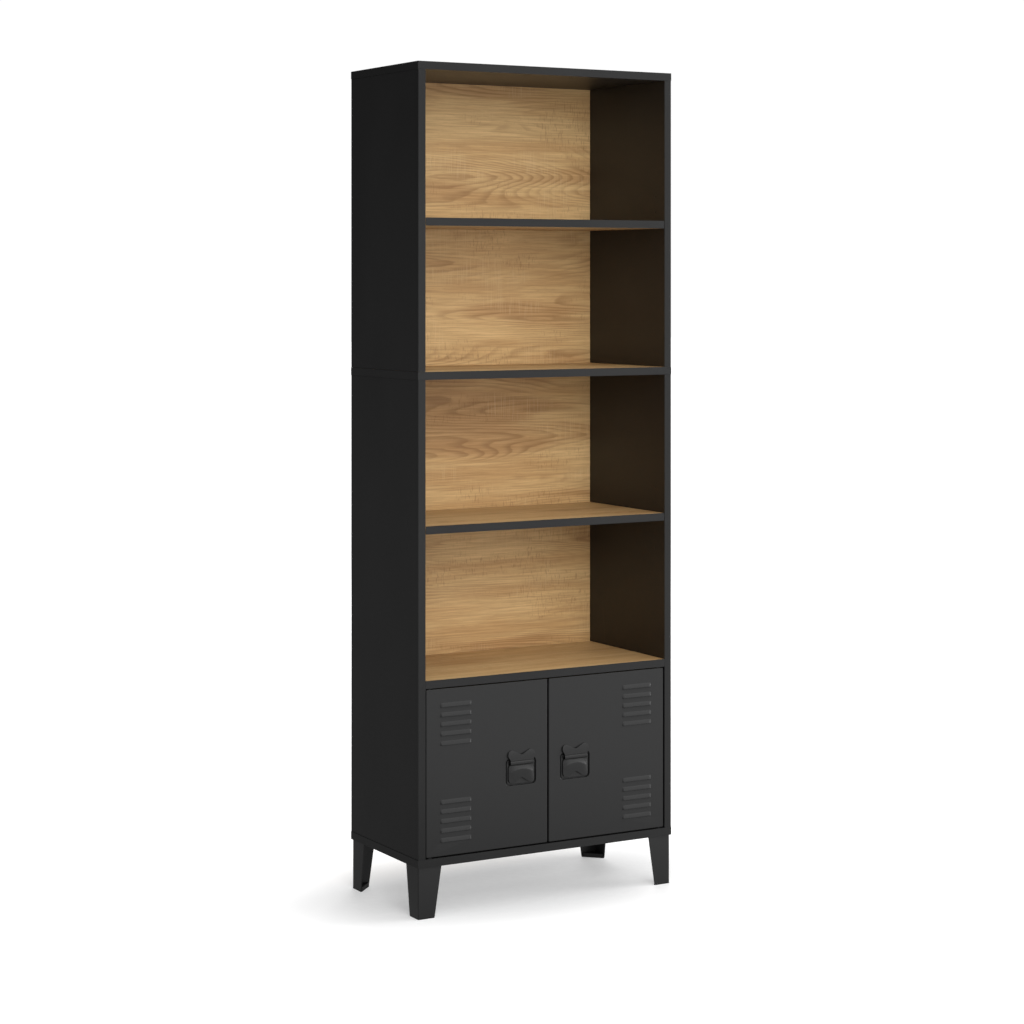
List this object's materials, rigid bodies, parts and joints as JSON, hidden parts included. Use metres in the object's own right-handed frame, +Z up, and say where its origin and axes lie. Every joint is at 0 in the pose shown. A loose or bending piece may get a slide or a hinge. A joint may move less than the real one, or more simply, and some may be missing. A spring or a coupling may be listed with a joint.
{
  "type": "bookcase",
  "caption": "Tall narrow black bookcase with oak-look shelves and back, lift-off shelves on pins, and a louvred two-door steel cabinet on tapered steel legs.",
  "frame": {"origin": "on the floor, centred under the box round the whole bookcase, pulls included", "axes": "+Z up, -Y towards the front, where the doors and open bays face, +X to the right as seen from the front"},
  "size_m": [0.6, 0.3024, 1.7],
  "materials": {
    "black_board": "particle board faced with matt black melamine, fine even texture",
    "black_edge_band": "thin black edge strip, satin",
    "oak_board": "board faced with a rustic oak print, grain along the length, light cross saw marks, matt",
    "black_steel": "charcoal-black powder coat, satin",
    "zinc_steel": "bright zinc plating",
    "black_nylon": "moulded nylon, matt",
    "beech_dowel": "fluted beech, raw"
  },
  "bodies": {
    "carcass": {"top_panel": "black_board", "bottom_panel": "black_board", "left_side_upper": "black_board", "right_side_upper": "black_board", "left_side_lower": "black_board", "right_side_lower": "black_board", "middle_panel": "oak_board", "cabinet_shelf": "oak_board", "upper_back_board": "oak_board", "lower_back_board": "oak_board", "middle_panel_edge_band": "black_edge_band", "cabinet_shelf_edge_band": "black_edge_band", "cabinet_shelf_dowel_left_front": "beech_dowel", "upper_shelf_pin_left_front": "zinc_steel", "lower_shelf_pin_left_front": "zinc_steel", "left_front_leg": "black_steel", "left_front_glide": "black_nylon", "cabinet_shelf_dowel_left_rear": "beech_dowel", "upper_shelf_pin_left_rear": "zinc_steel", "lower_shelf_pin_left_rear": "zinc_steel", "left_rear_leg": "black_steel", "left_rear_glide": "black_nylon", "left_top_bush": "black_nylon", "left_bottom_bush": "black_nylon", "left_magnetic_catch": "black_nylon", "cabinet_shelf_dowel_right_front": "beech_dowel", "upper_shelf_pin_right_front": "zinc_steel", "lower_shelf_pin_right_front": "zinc_steel", "right_front_leg": "black_steel", "right_front_glide": "black_nylon", "cabinet_shelf_dowel_right_rear": "beech_dowel", "upper_shelf_pin_right_rear": "zinc_steel", "lower_shelf_pin_right_rear": "zinc_steel", "right_rear_leg": "black_steel", "right_rear_glide": "black_nylon", "right_top_bush": "black_nylon", "right_bottom_bush": "black_nylon", "right_magnetic_catch": "black_nylon", "wall_angle": "zinc_steel"},
    "upper_shelf": {"upper_shelf": "oak_board", "upper_shelf_edge_band": "black_edge_band"},
    "lower_shelf": {"lower_shelf": "oak_board", "lower_shelf_edge_band": "black_edge_band"},
    "left_door": {"left_door": "black_steel", "left_door_pull": "black_steel", "left_door_finger_cup": "black_steel", "left_door_top_pivot": "zinc_steel", "left_door_bottom_pivot": "zinc_steel"},
    "right_door": {"right_door": "black_steel", "right_door_pull": "black_steel", "right_door_finger_cup": "black_steel", "right_door_top_pivot": "zinc_steel", "right_door_bottom_pivot": "zinc_steel"}
  },
  "joints": [
    {"name": "left_door_hinge", "type": "hinge", "parent": "carcass", "child": "left_door", "pos_m": [-0.2712, -0.14135, 0.2874], "axis": [0, 0, -1], "range_deg": [0, 110]},
    {"name": "right_door_hinge", "type": "hinge", "parent": "carcass", "child": "right_door", "pos_m": [0.2712, -0.14135, 0.2874], "axis": [0, 0, 1], "range_deg": [0, 110]},
    {"name": "upper_shelf_lift", "type": "slide", "parent": "carcass", "child": "upper_shelf", "axis": [0, 0, 1], "range_m": [0, 0.26]},
    {"name": "lower_shelf_lift", "type": "slide", "parent": "carcass", "child": "lower_shelf", "axis": [0, 0, 1], "range_m": [0, 0.28]}
  ]
}
